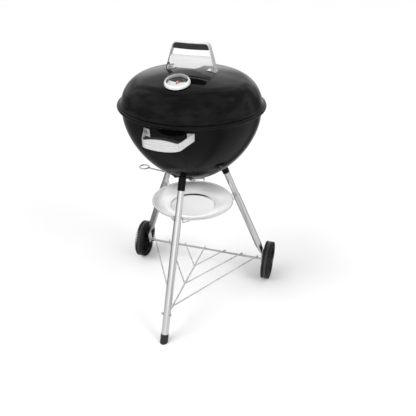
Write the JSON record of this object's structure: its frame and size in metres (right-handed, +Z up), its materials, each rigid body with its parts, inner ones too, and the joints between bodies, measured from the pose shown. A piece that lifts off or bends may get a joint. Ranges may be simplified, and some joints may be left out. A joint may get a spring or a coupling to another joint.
{
  "type": "kettle charcoal grill",
  "caption": "Kettle charcoal grill on a tripod stand with two wheels, lift-off lid with thermometer and damper, bottom vents, grates, wire rack and ash pan.",
  "frame": {"origin": "middle of the footprint of the bounding box, on the ground", "axes": "+Z up, -Y towards the front leg and the thermometer, +X towards the right wheel"},
  "size_m": [0.5686, 0.5803, 0.9335],
  "materials": {
    "enamel": "glossy porcelain enamel",
    "bracket_black": "satin black",
    "handle_steel": "brushed",
    "grip_plastic": "fine grain",
    "fastener_steel": "zinc plated",
    "shield_steel": "bright",
    "leg_alloy": "satin",
    "foot_plastic": "moulded",
    "wheel_plastic": "moulded",
    "axle_steel": "zinc plated",
    "rack_wire": "plated wire",
    "pan_alloy": "satin, spun",
    "clip_wire": "plated spring wire",
    "damper_alloy": "satin",
    "bezel_steel": "polished",
    "dial_face": "printed sheet",
    "needle_red": "painted",
    "lens_clear": "clear",
    "grate_steel": "plated wire"
  },
  "bodies": {
    "stand": {"bowl_shell": "enamel", "grate_brackets": "bracket_black", "bowl_handle_strap": "handle_steel", "bowl_handle_grip": "grip_plastic", "bowl_handle_bolts": "fastener_steel", "front_leg_bracket": "enamel", "right_leg_bracket": "enamel", "left_leg_bracket": "enamel", "bracket_screws": "bracket_black", "front_leg_upper": "leg_alloy", "right_leg_upper": "leg_alloy", "left_leg_upper": "leg_alloy", "front_leg_lower": "leg_alloy", "right_leg_lower": "leg_alloy", "left_leg_lower": "leg_alloy", "front_foot_cap": "foot_plastic", "axle": "axle_steel", "axle_washers": "fastener_steel", "hub_caps": "foot_plastic", "wire_rack": "rack_wire", "rack_bolt": "fastener_steel", "front_pan_clip": "clip_wire", "right_pan_clip": "clip_wire", "left_pan_clip": "clip_wire"},
    "lid": {"lid_shell": "enamel", "lid_handle_strap": "handle_steel", "lid_handle_grip": "grip_plastic", "lid_heat_shield": "shield_steel", "lid_handle_bolts": "fastener_steel", "damper_rivet": "fastener_steel", "thermometer_case": "bezel_steel", "thermometer_dial": "dial_face", "thermometer_pivot": "bezel_steel", "thermometer_lens": "lens_clear", "thermometer_bezel": "bezel_steel", "thermometer_nut": "fastener_steel"},
    "damper": {"lid_damper": "damper_alloy"},
    "needle": {"thermometer_needle": "needle_red"},
    "vent_sweeper": {"vent_blades": "damper_alloy", "vent_shaft": "axle_steel", "vent_lever": "rack_wire"},
    "cooking_grate_body": {"cooking_grate": "grate_steel"},
    "charcoal_grate_body": {"charcoal_grate": "grate_steel"},
    "ash_pan_body": {"ash_pan": "pan_alloy"},
    "right_wheel_body": {"right_wheel": "wheel_plastic"},
    "left_wheel_body": {"left_wheel": "wheel_plastic"}
  },
  "joints": [
    {"name": "lid_lift", "type": "slide", "parent": "stand", "child": "lid", "axis": [0, 0, 1], "range_m": [0, 0.25]},
    {"name": "damper_turn", "type": "hinge", "parent": "lid", "child": "damper", "pos_m": [0, 0.14615, 0.84605], "axis": [0, 0.1524, 0.9883], "range_deg": [0, 60]},
    {"name": "needle_turn", "type": "hinge", "parent": "lid", "child": "needle", "pos_m": [0, -0.08211, 0.84039], "axis": [0, -0.2604, 0.9655], "range_deg": [-75, 75]},
    {"name": "vent_sweep", "type": "hinge", "parent": "stand", "child": "vent_sweeper", "pos_m": [0, 0.05015, 0.468], "axis": [0, 0, 1], "range_deg": [-30, 30]},
    {"name": "right_wheel_spin", "type": "hinge", "parent": "stand", "child": "right_wheel_body", "pos_m": [0.265, 0.197, 0.075], "axis": [1, 0, 0], "continuous": true},
    {"name": "left_wheel_spin", "type": "hinge", "parent": "stand", "child": "left_wheel_body", "pos_m": [-0.265, 0.197, 0.075], "axis": [1, 0, 0], "continuous": true},
    {"name": "cooking_grate_lift", "type": "slide", "parent": "stand", "child": "cooking_grate_body", "axis": [0, 0, 1], "range_m": [0, 0.03]},
    {"name": "charcoal_grate_lift", "type": "slide", "parent": "stand", "child": "charcoal_grate_body", "axis": [0, 0, 1], "range_m": [0, 0.1]},
    {"name": "ash_pan_lift", "type": "slide", "parent": "stand", "child": "ash_pan_body", "axis": [0, 0, 1], "range_m": [0, 0.005]}
  ]
}
